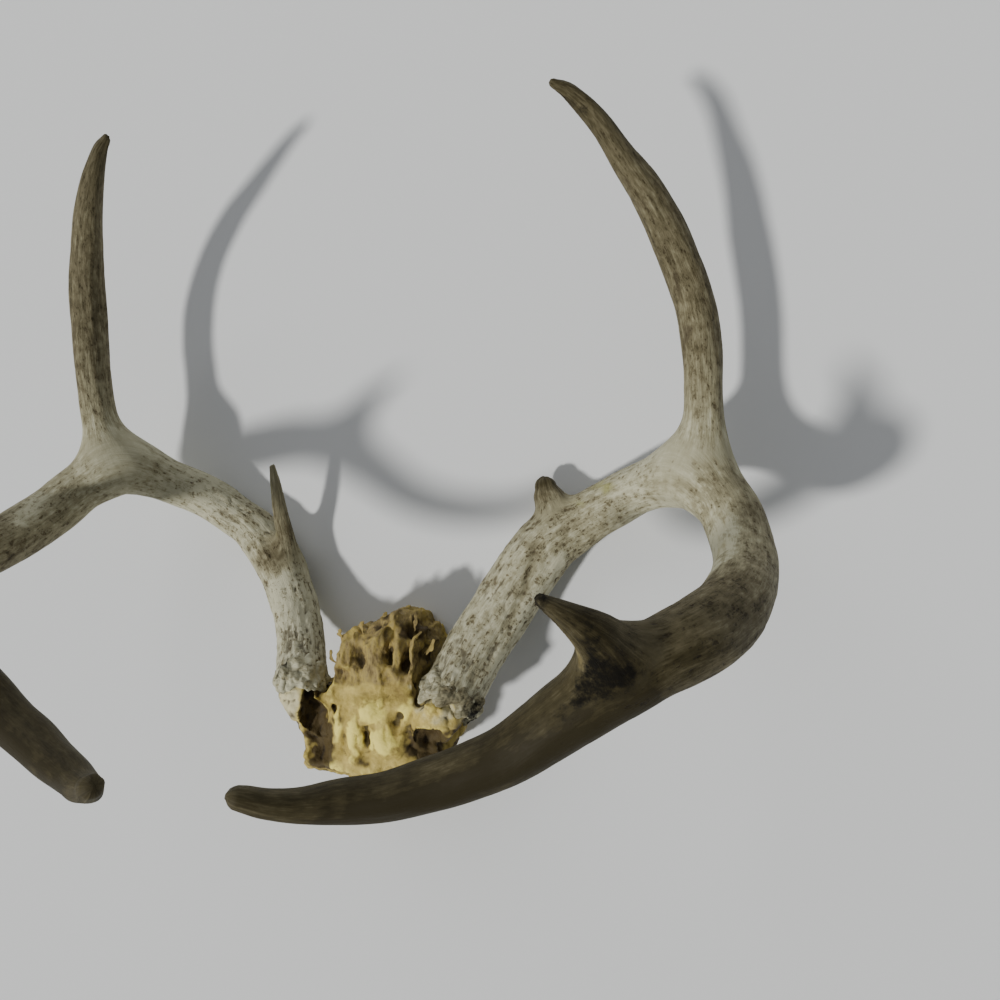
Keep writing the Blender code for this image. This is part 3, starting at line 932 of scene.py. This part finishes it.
# ---------------------------------------------------------------- forehead bone
# The outline of the bone seen from above, as x and y in millimetres.
FOREHEAD_OUTLINE = [
    (0, -52.5), (14, -51.5), (27, -47.5), (38, -41), (46, -30), (44, -14), (30, -4), (28, 8),
    (31, 22), (27, 34), (14, 41), (2, 38), (-10, 32), (-20, 28), (-24, 17), (-27, 0),
    (-43, -6), (-51, -15), (-53, -24), (-49.5, -32), (-45.5, -41), (-46.5, -50), (-40, -52.5), (-26, -52.5),
]
BONE_CENTRE = np.array((0.0, -8.0))
BONE_CELL = 0.8
SAWN_HEIGHT = 0.6            # below this the surface is the sawn face
PEDICLE_RADIUS = 11.5
PEDICLE_ROOT = (25, -26, 37, 12.5)
BALL_TURNS, BALL_RINGS = 48, 28
BRAIN_CENTRE = np.array((0, -6, -1))
BRAIN_REACH = np.array((19, 30, 24))

# Swellings and hollows of the forehead: x and y, reach along each, and height.
FOREHEAD_RELIEF = [
    (-6.5, -24, 4.5, 8, 3.4), (-7, -39, 5, 4, 1.6), (10, -27, 8, 7, 3.4), (4, -9.5, 7, 6, 2.8),
    (20, -24, 4, 4, 1.2), (23, -9, 4, 5, 2.0), (-18, -21, 4, 8, 1.6), (-20, -40, 5, 6, 1.5),
    (1, -25, 1.7, 6, -4.5), (0, -39, 4, 3, -3.0), (-13, -29, 2, 8, -2.6), (17, -17, 2.5, 6, -3.0),
    (-12, -13, 3, 4, -1.8), (-2, -1, 11, 2.5, -1.8), (12, -42, 7, 3, -2.2), (-30, -43, 5, 5, -4.0),
    (-32, -25, 8.5, 17, -11), (34, -25, 8.5, 11, -11), (-20.4, -11, 1.8, 2.1, -7),
    (19.5, -12, 1.6, 1.8, -4),
]
# The same for the torn tissue behind it.
TISSUE_RELIEF = [
    (-6, 17, 3.8, 6, -6), (10.6, 19, 3, 4.5, -6), (20.5, 15, 2.6, 6, -9), (30.5, 19, 3.2, 7.5, -12),
    (25.3, 21, 1.4, 10, 7), (-14, 20, 3, 7, 3.2), (1, 23, 3.4, 6, 3.2), (15.5, 23, 2.4, 8, 3.4),
    (14, 33, 7, 3, -3), (-16, 8, 4, 5, -3), (3, 10, 4, 4, 1.6), (7, 28, 4, 6, 4),
]


def closed_curve(points, count):
    """Evenly counted samples of the closed Catmull-Rom curve through the points."""
    points = np.array(points, float)
    place = np.linspace(0, len(points), count, endpoint=False)
    index = place.astype(int)
    t = (place - index)[:, None]
    return catmull_rom(*(points[(index + step) % len(points)] for step in (-1, 0, 1, 2)), t)


def forehead_height(x, y):
    """Height of the bone's top face over x and y.

    A dome with broad noise, plus a bell for each swelling and hollow in the lists, and
    behind it the ridged folds of the torn tissue.
    """
    flat = np.stack([x, y, np.zeros_like(x)], axis=1)
    height = 58 - 0.0035 * x ** 2 - 0.0016 * (y + 12) ** 2
    height += 1.6 * fractal(flat, 15, 3, 301)
    torn = smooth_step(y, 0, 10)
    folds = 1 - np.abs(fractal(flat, (12, 20, 12), 2, 310)) * 2.2
    height += torn * (2.4 * folds - 2.6)
    for cx, cy, rx, ry, rise in FOREHEAD_RELIEF + TISSUE_RELIEF:
        height += rise * np.exp(-((x - cx) / rx) ** 2 - ((y - cy) / ry) ** 2)
    return height


def forehead_block():
    """Outlines carried from the middle of the top, over the edge and down to the sawn face.

    Along each ray from the middle, the first rings lie on the top face, the next run down
    the side, which leans in towards the sawn face, and the last close the flat underside.
    """
    rays = 400
    outline = closed_curve(FOREHEAD_OUTLINE, rays)
    ragged = fractal(np.column_stack([outline, np.full(rays, 5.0)]), 6.0, 3, 330)
    reach = outline - BONE_CENTRE
    torn = smooth_step(outline[:, 1], 5, 20)
    reach = reach * (1 + (0.012 + 0.05 * torn) * ragged)[:, None]
    rings = []
    for share in np.linspace(0.02, 1.0, 70):
        flat = BONE_CENTRE + reach * share
        top = forehead_height(flat[:, 0], flat[:, 1])
        top -= 9.0 * smooth_step(share, 0.80, 1.0) ** 2 * (1 - 0.5 * torn)
        rings.append(np.column_stack([flat, top]))
    edge = rings[-1]
    for drop in np.linspace(0.03, 1.0, 50):
        narrow = 1 + 0.03 * math.sin(math.pi * drop) - 0.10 * drop
        flat = BONE_CENTRE + reach * narrow
        rings.append(np.column_stack([flat, edge[:, 2] * (1 - drop)]))
    points = np.vstack(rings)
    middle = forehead_height(BONE_CENTRE[:1], BONE_CENTRE[1:])
    ends = np.array([[*BONE_CENTRE, middle[0]], [*BONE_CENTRE, 0.0]])
    faces = ring_faces(len(rings), rays, poles=True)
    return np.vstack([points, ends]), [face[::-1] for face in faces]


def stretched_ball(centre, reach, roughness, seed):
    """A sphere on a grid of turns and heights, stretched, with noise on its radius."""
    turn, rise = np.meshgrid(circle(BALL_TURNS), np.linspace(-1.45, 1.45, BALL_RINGS))
    ball = np.stack([np.cos(turn) * np.cos(rise), np.sin(turn) * np.cos(rise), np.sin(rise)], axis=-1)
    ball = np.vstack([ball.reshape(-1, 3), [[0, 0, -1], [0, 0, 1]]])
    ball = ball * (1 + roughness * fractal(ball, 0.7, 3, seed))[:, None]
    return ball * np.array(reach) + np.array(centre), ring_faces(BALL_RINGS, BALL_TURNS, poles=True)


def make_pedicle(lower):
    """A stump carried from inside the forehead up to the burr."""
    foot, axis = foot_of(lower)
    side = math.copysign(1.0, foot[0])
    x, y, z, root_radius = PEDICLE_ROOT
    radius = PEDICLE_RADIUS
    stations = [
        (side * x, y, z, root_radius), (*(foot - axis * 15 + np.array((-side * 2, -1, -2))), radius + 0.4),
        (*(foot - axis * 6), radius - 0.6), (*(foot + axis * 1), radius - 0.4),
    ]
    return Branch(stations).tube(40)


# Where the bone beside the burrs is knobbed like them: centre and reach.
LOBED_BONE = [
    ((43, -6, 52), (10, 9, 12)), ((31, 2, 54), (5, 8, 9)), ((-45, -8, 54), (7, 12, 13)),
]


def skull_wear(points, sunk, torn, inside, wall, gaps):
    """The amounts of cream with painted highlight, tissue and dirt, and of painted shade with some brown
    staining, white bone and sawn rim.
    """
    ragged = 1 + 0.6 * fractal(points, 6.0, 3, 360)

    def cover(places):
        """Bells of the given amounts at the places, added up and made ragged."""
        return sum(amount * patch(points, centre, reach) for amount, centre, reach in places) * ragged

    # Cream on the bumps and less in the hollows: partly the pale bone itself, partly painted highlight on the
    # raised parts and on ridges of the torn tissue.
    cream_and_highlight = cover([
        (1.3, (-6.5, -25, 58), (4.5, 8, 9)), (1.4, (10, -27, 58), (8, 6.5, 9)),
        (1.2, (4, -10, 59), (7, 6, 9)), (0.8, (23, -9, 56), (4, 5, 8)),
        (0.5, (-20, -44, 50), (12, 5, 10)), (0.8, (-18, -20, 57), (4, 7, 8)),
        (0.7, (25.3, 21, 52), (1.6, 9, 7)), (0.7, (7, 29, 52), (5, 7, 9)),
    ]) - np.clip(sunk, -0.6, 1) * 0.8
    # Shade painted into the colour in the eye sockets, the hollows and seams of the forehead and under the
    # pedicles, and below inside the brain hollow; the faint patches on the torn tissue and the one beside the
    # right burr are brown and grey staining.
    shade = cover([
        (1.6, (-31, -27, 45), (9, 18, 14)), (1.6, (36, -26, 46), (11, 12, 14)),
        (1.0, (49, -34, 33), (16, 14, 19)), (0.5, (-22.5, -33, 52), (3.5, 12, 8)),
        (0.5, (-16, -16, 57), (7, 4, 8)), (0.4, (-19, -33, 55), (3, 9, 8)),
        (0.4, (19, -33, 54), (6, 7, 8)), (1.0, (-49, -34, 33), (16, 14, 19)),
        (0.7, (0, -39, 55), (7, 4, 7)), (0.8, (-30, -44, 48), (6, 5, 9)),
        (0.7, (-34, -11, 55), (3.5, 8, 10)), (0.6, (17, -17, 54), (3, 6, 7)),
        (0.5, (-13, -28, 55), (2.5, 8, 7)), (0.25, (15, 33, 48), (20, 8, 12)),
        (0.4, (26, 34, 45), (9, 8, 10)), (0.3, (-7, 22, 48), (16, 9, 10)),
        (1.0, (-34, -7, 52), (3, 9, 9)), (0.6, (-43, -16, 58), (5, 4, 9)),
        (1.2, (46, -22, 46), (8, 7, 10)), (1.0, (52, -15, 41), (6, 5, 8)),
        (1.5, (29, -25, 50), (6, 8, 10)),
    ]) + inside * (0.45 + 0.45 * fractal(points, 14.0, 3, 363))
    dirt = cover([
        (0.95, (-6, 17, 46), (4, 6.5, 9)), (0.7, (10.6, 19, 47), (3.4, 5, 8)),
        (1.1, (20.5, 15, 45), (3, 6.5, 9)), (1.4, (30.5, 19, 43), (3.6, 8, 10)),
        (1.8, (-20.4, -11, 53), (2.0, 2.3, 6)), (1.1, (19.5, -12, 53), (1.8, 2.0, 5)),
        (0.8, (1, -25, 54), (1.9, 6, 6)),
    ]) + np.clip(sunk * (0.9 - 0.35 * torn), 0, 0.8) + gaps * 0.9
    white = cover([
        (1.8, (-45, -7, 55), (7, 14, 15)), (1.3, (-51, -22, 46), (5, 8, 12)),
        (1.4, (43, -7, 48), (11, 10, 13)), (1.1, (30, 2, 53), (6, 9, 9)),
    ])
    # The side walls get browner in the same amount: staining of the bone itself.
    shade = shade + wall * (0.30 + 0.45 * fractal(points, 17.0, 3, 361))
    tissue = torn * (0.45 + 0.3 * ragged) + wall * (0.35 + 0.4 * fractal(points, 13.0, 2, 362))
    return np.clip([cream_and_highlight, tissue, dirt], 0, 1.4), np.clip([shade, white, points[:, 2] < SAWN_HEIGHT], 0, 1.2)


def make_skull_plate(material):
    """The forehead bone with its pedicles, eye sockets, hollow of the brain and dried tissue."""
    surfaces = [forehead_block(), make_pedicle(LEFT_LOWER_BEAM), make_pedicle(RIGHT_LOWER_BEAM)]
    cutters = [
        stretched_ball((49, -34, 33), (17, 14, 19), 0.10, 341),
        stretched_ball((-49.5, -35, 25), (11, 12, 15), 0.10, 342),
        stretched_ball(BRAIN_CENTRE, BRAIN_REACH, 0.05, 343),
        stretched_ball((-30.6, -25, 60), (8.8, 19, 12), 0.16, 344),
        stretched_ball((36, -27, 60), (10.5, 12, 15), 0.12, 345),
        stretched_ball((-34, -5, 60), (2.4, 7, 7), 0.12, 346),
        stretched_ball((-33, -13, 60), (3.8, 8, 10), 0.12, 347),
    ]
    mesh = merge("skull_plate", surfaces, BONE_CELL, cutters)
    points = read_points(mesh)
    normals = read_normals(mesh)
    _, y, z = points.T
    above = smooth_step(z, 4, 12)
    from_hollow = (((points - BRAIN_CENTRE) / (BRAIN_REACH + 2.0)) ** 2).sum(axis=1)
    inside = smooth_step(1 - from_hollow, -0.02, 0.04) * (z > 0.5)
    torn = smooth_step(y + 3 * noise(points, 9, 349), -1, 8) * above * (1 - inside)
    grit = 0.6 * fractal(points, 7.0, 3, 350)
    strands = 1 - np.abs(fractal(points, (4.5, 10.0, 6.5), 2, 351)) * 2
    crack = np.abs(fractal(points, (9, 13, 11), 3, 352))
    valleys = -0.55 * np.exp(-(crack / 0.16) ** 2) * (1 - 0.8 * torn) * above
    lobe, lobe_number = nearest_seed(points + 1.5 * fractal(points, 6.0, 2, 353)[:, None], 6.0, 354)
    lobes = 1 - smooth_step(lobe, 0.10, 0.85)
    lobed = sum(patch(points, *place) for place in LOBED_BONE)
    height = grit * (0.4 + 0.6 * above) + torn * (0.8 * strands - 0.4) + valleys
    height *= (z > SAWN_HEIGHT) * (1 - 0.6 * inside)
    height += np.clip(lobed, 0, 1) * (3.8 * lobes * (0.3 + lobe_number) - 1.8)
    gaps = np.clip(lobed, 0, 1) * np.clip(0.8 - lobes, 0, 1)
    wall = smooth_step(-normals[:, 2], -0.75, -0.35) * smooth_step(z, 0.6, 4) * (1 - inside)
    height += wall * (1.5 * fractal(points, (13, 13, 9), 3, 355) - 0.9 * np.exp(-(crack / 0.22) ** 2))
    points = points + normals * height[:, None]
    write_points(mesh, points)
    sunk = hollowness(mesh, points, normals, 30)
    wear, tint = skull_wear(points, sunk, torn, inside, wall, gaps)
    write_attribute(mesh, "wear", "FLOAT_COLOR", *wear)
    write_attribute(mesh, "tint", "FLOAT_COLOR", *tint)
    finish("forehead_bone", mesh, material, ["skull_plate"])


STRIP_STEP = 0.45
STRIP_SIDES = 14

# Strips of dried tissue at the back edge: stations of x, y, z and half width, then the
# thickness, the turns of twist, and how dark and how pale the strip is.
TISSUE_STRIPS = [
    ([(25, 11, 50, 0.9), (24, 20, 54, 1.3), (25, 29, 52, 1.2), (28, 33, 48, 0.6)], 0.8, 0.3, 0.1, 0.8),
    ([(13, 30, 45, 2.2), (13, 36, 48, 1.6), (13.5, 41, 48, 0.7)], 0.7, 0.4, 0.3, 0.2),
    ([(22, 32, 43, 2.4), (23, 38, 44, 1.6), (23, 43, 43, 0.6)], 0.7, 0.5, 0.9, 0.0),
    ([(30, 22, 44, 2.6), (34, 25, 48, 2.8), (35, 29, 47, 1.0)], 0.8, 0.2, 0.5, 0.2),
    ([(-18, 24, 44, 2.2), (-21, 28, 48, 1.7), (-20, 32, 50, 0.6)], 0.7, 0.3, 0.5, 0.1),
    ([(-8, 29, 45, 2.6), (-8, 34, 48, 1.8), (-6, 37, 49, 0.7)], 0.7, 0.5, 0.4, 0.1),
    ([(3, 34, 44, 2.4), (4, 39, 46, 1.6), (6, 42, 45, 0.6)], 0.7, 0.4, 0.7, 0.0),
    ([(-22, 10, 44, 2.4), (-26, 14, 47, 2.0), (-27, 19, 47, 0.8)], 0.7, 0.3, 0.8, 0.0),
    ([(-2, 14, 50, 0.8), (3, 19, 54, 1.4), (8, 27, 53, 1.2), (9, 33, 48, 0.7)], 0.8, 0.3, 0.2, 0.4),
]


def strip(stations, thickness, twist):
    """A flat oval, as wide as the stations say, carried along their curve while it turns."""
    samples, along = smooth_path(stations, STRIP_STEP)
    tangents, sides, backs = turning_frames(samples[:, :3])
    share = along / along[-1]
    turn = (0.6 + twist * share)[:, None, None] * np.pi
    round_ = circle(STRIP_SIDES)[None, :, None]
    wide = samples[:, None, 3:4] * (1 + 0.25 * np.sin(share * 19 + twist * 9))[:, None, None]
    across = wide * np.cos(round_)
    taper = np.sin(np.pi * np.clip(share, 0.04, 0.96))[:, None, None] ** 0.3
    deep = thickness * 0.5 * np.sin(round_) * taper
    flat = sides[:, None] * np.cos(turn) + backs[:, None] * np.sin(turn)
    thin = backs[:, None] * np.cos(turn) - sides[:, None] * np.sin(turn)
    rings = samples[:, None, :3] + flat * across + thin * deep
    return capped(rings, samples[:, :3], tangents, (0.3, 0.3))


def make_dried_tissue(material):
    """Curled strips of dried tissue standing up along the torn back edge of the bone."""
    surfaces = [strip(stations, thick, twist) for stations, thick, twist, _, _ in TISSUE_STRIPS]
    points, faces = join_surfaces(surfaces)
    points = points + 0.35 * np.stack([fractal(points, 3.0, 2, 400 + axis) for axis in range(3)], axis=1)
    mesh = make_mesh("dried_tissue", points, faces)
    write_points(mesh, points)
    counts = [len(surface[0]) for surface in surfaces]
    dark = np.repeat([strip_look[3] for strip_look in TISSUE_STRIPS], counts)
    pale = np.repeat([strip_look[4] for strip_look in TISSUE_STRIPS], counts)
    write_attribute(mesh, "wear", "FLOAT_COLOR", pale, 1, dark * 0.6)
    write_attribute(mesh, "tint", "FLOAT_COLOR", dark * 0.5, 0, 0)
    finish("dried_tissue", mesh, material)


# ---------------------------------------------------------------- stage, light and camera
# The camera, from the point between the burrs: its place, its aim and its upward side.
CAMERA_PLACE = np.array((169.2, 109.1, 442.8))
CAMERA_AIM = Vector((-0.24067, -0.00510, -0.97059))
CAMERA_UP = Vector((-0.02120, 0.99978, 0.0))
CAMERA_LENS = 27.18
CAMERA_SENSOR = 36.0
NEAREST_SHOWN = 0.01         # in metres
FLOOR_HALF = 12.0            # half the floor's width, in metres


def make_camera():
    """The camera, looking down on the rack from above its left antler."""
    camera = link("camera", bpy.data.cameras.new("camera"))
    camera.data.lens = CAMERA_LENS
    camera.data.sensor_width = CAMERA_SENSOR
    camera.data.clip_start = NEAREST_SHOWN
    back = -CAMERA_AIM.normalized()
    right = CAMERA_UP.cross(back).normalized()
    up = back.cross(right)
    turn = Matrix((right, up, back)).transposed().to_4x4()
    camera.matrix_world = Matrix.Translation((CAMERA_PLACE - RACK_MIDDLE) * MM) @ turn
    bpy.context.scene.camera = camera


def make_floor():
    """A plain pale floor that the rack rests on."""
    floor = link("floor", bpy.data.meshes.new("floor"))
    corners = [(x * FLOOR_HALF, y * FLOOR_HALF, 0) for x, y in ((-1, -1), (1, -1), (1, 1), (-1, 1))]
    floor.data.from_pydata(corners, [], [(0, 1, 2, 3)])
    shader = Shader("pale_floor")
    shader.surface.inputs["Base Color"].default_value = (0.74, 0.75, 0.75, 1)
    shader.surface.inputs["Roughness"].default_value = 0.9
    floor.data.materials.append(shader.material)


def make_light(name, direction, energy, colour, angle):
    """A sun that shines from a direction, with soft edges."""
    lamp = bpy.data.lights.new(name, "SUN")
    lamp.energy = energy
    lamp.color = colour
    lamp.angle = math.radians(angle)
    sun = link(name, lamp)
    sun.rotation_euler = Vector(direction).to_track_quat("Z", "Y").to_euler()


def make_lights():
    """Soft daylight from a window, a wide second light above, and a dim room."""
    make_light("window_light", (-0.46, -0.40, 0.79), 2.9, (1.0, 0.99, 0.96), 5)
    make_light("upper_light", (-0.5, 0.75, 0.45), 0.9, (0.97, 0.98, 1.0), 50)
    world = bpy.data.worlds.new("soft_room")
    bpy.context.scene.world = world
    world.use_nodes = True
    background = world.node_tree.nodes["Background"]
    background.inputs["Color"].default_value = (0.93, 0.96, 1.0, 1)
    background.inputs["Strength"].default_value = 0.22


# ---------------------------------------------------------------- the scene
make_camera()
make_floor()
make_lights()
antler = antler_material()
bone = bone_material()
ANTLER_NODES = ["lower_beam", "upper_beam", "long_tine", "front_tine", "brow_tine"]
left_branches = antler_branches(
    LEFT_LOWER_BEAM, LEFT_UPPER_BEAM, LEFT_LONG_TINE, LEFT_FRONT_TINE, LEFT_BROW_TINE, LEFT_BEAM)
right_branches = antler_branches(
    RIGHT_LOWER_BEAM, RIGHT_UPPER_BEAM, RIGHT_LONG_TINE, RIGHT_FRONT_TINE, RIGHT_BROW_TINE, RIGHT_BEAM)
left_nodes = ["left_" + node for node in ANTLER_NODES]
right_nodes = ["right_" + node for node in ANTLER_NODES]
make_antler("left_antler", left_branches, LEFT_PATCHES, left_nodes, antler, 1000)
make_antler("right_antler", right_branches, RIGHT_PATCHES, right_nodes, antler, 2000)
make_burr("left_burr", LEFT_LOWER_BEAM, antler, 500, 0.22, 1.0, LEFT_BURR_SPOTS)
make_burr("right_burr", RIGHT_LOWER_BEAM, antler, 600, 0.0, 0.35, RIGHT_BURR_SPOTS)
make_skull_plate(bone)
make_dried_tissue(bone)
